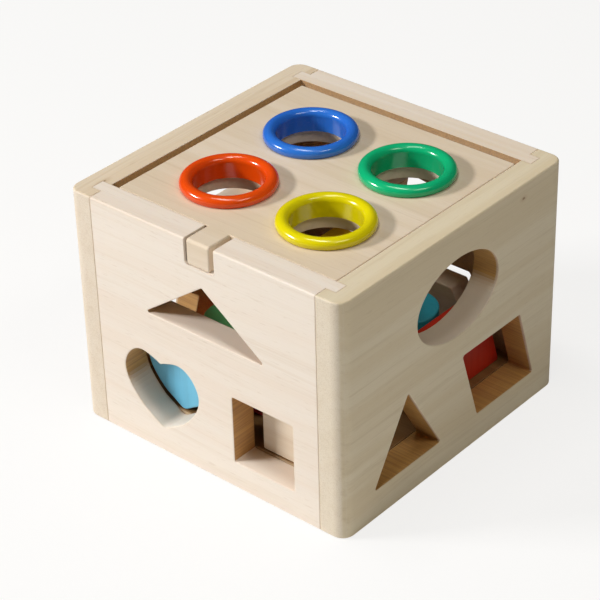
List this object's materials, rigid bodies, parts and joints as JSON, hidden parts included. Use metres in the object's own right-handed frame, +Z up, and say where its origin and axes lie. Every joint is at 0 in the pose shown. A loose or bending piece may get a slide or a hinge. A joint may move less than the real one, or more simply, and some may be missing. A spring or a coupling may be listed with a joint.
{
  "type": "shape sorter box",
  "caption": "Wooden shape sorter box with a lift-off lid, ring-lined peg holes, shape holes in every wall, and blocks to post through them.",
  "frame": {"origin": "centre of the underside, on the plane the walls stand on", "axes": "+X to the right along the front face, +Y from the front face to the back, +Z up"},
  "size_m": [0.147, 0.147, 0.118],
  "materials": {
    "wall_wood": "fine sanded, bare",
    "lid_wood": "fine sanded, bare",
    "base_wood": "sanded, bare",
    "glue_block_wood": "sawn, bare",
    "bare_wood": "fine sanded, bare",
    "light_blue_paint": "satin water-based paint",
    "red_paint": "satin water-based paint",
    "blue_paint": "satin water-based paint",
    "green_paint": "satin water-based paint",
    "yellow_paint": "satin water-based paint",
    "orange_paint": "satin water-based paint",
    "red_plastic": "gloss injection moulded",
    "yellow_plastic": "gloss injection moulded",
    "blue_plastic": "gloss injection moulded",
    "green_plastic": "gloss injection moulded"
  },
  "bodies": {
    "box": {"left_panel": "wall_wood", "right_panel": "wall_wood", "front_panel": "wall_wood", "back_panel": "wall_wood", "base_panel": "base_wood", "lid_rest_front_left": "glue_block_wood", "lid_rest_front_right": "glue_block_wood", "lid_rest_back_left": "glue_block_wood", "lid_rest_back_right": "glue_block_wood"},
    "lid": {"lid_board": "lid_wood", "ring_red": "red_plastic", "ring_yellow": "yellow_plastic", "ring_blue": "blue_plastic", "ring_green": "green_plastic"},
    "heart_block": {"heart_block": "light_blue_paint"},
    "square_block": {"square_block": "bare_wood"},
    "parallelogram_block": {"parallelogram_block": "red_paint"},
    "cross_block": {"cross_block": "blue_paint"},
    "hexagon_block": {"hexagon_block": "bare_wood"},
    "trapezoid_block": {"trapezoid_block": "yellow_paint"},
    "wide_triangle_block": {"wide_triangle_block": "red_paint"},
    "pentagon_block": {"pentagon_block": "green_paint"},
    "ellipse_block": {"ellipse_block": "blue_paint"},
    "star_block": {"star_block": "yellow_paint"},
    "triangle_block": {"triangle_block": "orange_paint"},
    "half_disc_block": {"half_disc_block": "red_paint"},
    "peg_front_left": {"peg_front_left": "green_paint"},
    "peg_front_right": {"peg_front_right": "yellow_paint"},
    "peg_back_left": {"peg_back_left": "red_paint"},
    "peg_back_right": {"peg_back_right": "light_blue_paint"}
  },
  "joints": [
    {"name": "lid_lift", "type": "slide", "parent": "box", "child": "lid", "axis": [0, 0, 1], "range_m": [0, 0.13]},
    {"name": "heart_post", "type": "slide", "parent": "box", "child": "heart_block", "axis": [0, -1, 0], "range_m": [0, 0.036]},
    {"name": "square_post", "type": "slide", "parent": "box", "child": "square_block", "axis": [0, -1, 0], "range_m": [0, 0.036]},
    {"name": "parallelogram_post", "type": "slide", "parent": "box", "child": "parallelogram_block", "axis": [1, 0, 0], "range_m": [0, 0.04]},
    {"name": "cross_post", "type": "slide", "parent": "box", "child": "cross_block", "axis": [-1, 0, 0], "range_m": [0, 0.036]},
    {"name": "hexagon_post", "type": "slide", "parent": "box", "child": "hexagon_block", "axis": [0, 1, 0], "range_m": [0, 0.036]},
    {"name": "trapezoid_post", "type": "slide", "parent": "box", "child": "trapezoid_block", "axis": [0, 1, 0], "range_m": [0, 0.036]},
    {"name": "peg_front_left_rise", "type": "slide", "parent": "box", "child": "peg_front_left", "axis": [0, 0, 1], "range_m": [0, 0.112]},
    {"name": "peg_front_right_rise", "type": "slide", "parent": "box", "child": "peg_front_right", "axis": [0, 0, 1], "range_m": [0, 0.112]},
    {"name": "peg_back_left_rise", "type": "slide", "parent": "box", "child": "peg_back_left", "axis": [0, 0, 1], "range_m": [0, 0.112]},
    {"name": "peg_back_right_rise", "type": "slide", "parent": "box", "child": "peg_back_right", "axis": [0, 0, 1], "range_m": [0, 0.112]},
    {"name": "wide_triangle_lift", "type": "slide", "parent": "box", "child": "wide_triangle_block", "axis": [0, 0, 1], "range_m": [0, 0.06]},
    {"name": "pentagon_lift", "type": "slide", "parent": "box", "child": "pentagon_block", "axis": [0, 0, 1], "range_m": [0, 0.05]},
    {"name": "ellipse_lift", "type": "slide", "parent": "box", "child": "ellipse_block", "axis": [0, 0, 1], "range_m": [0, 0.048]},
    {"name": "star_lift", "type": "slide", "parent": "box", "child": "star_block", "axis": [0, 0, 1], "range_m": [0, 0.05]},
    {"name": "triangle_lift", "type": "slide", "parent": "box", "child": "triangle_block", "axis": [0, 0, 1], "range_m": [0, 0.05]},
    {"name": "half_disc_lift", "type": "slide", "parent": "box", "child": "half_disc_block", "axis": [0, 0, 1], "range_m": [0, 0.055]}
  ]
}
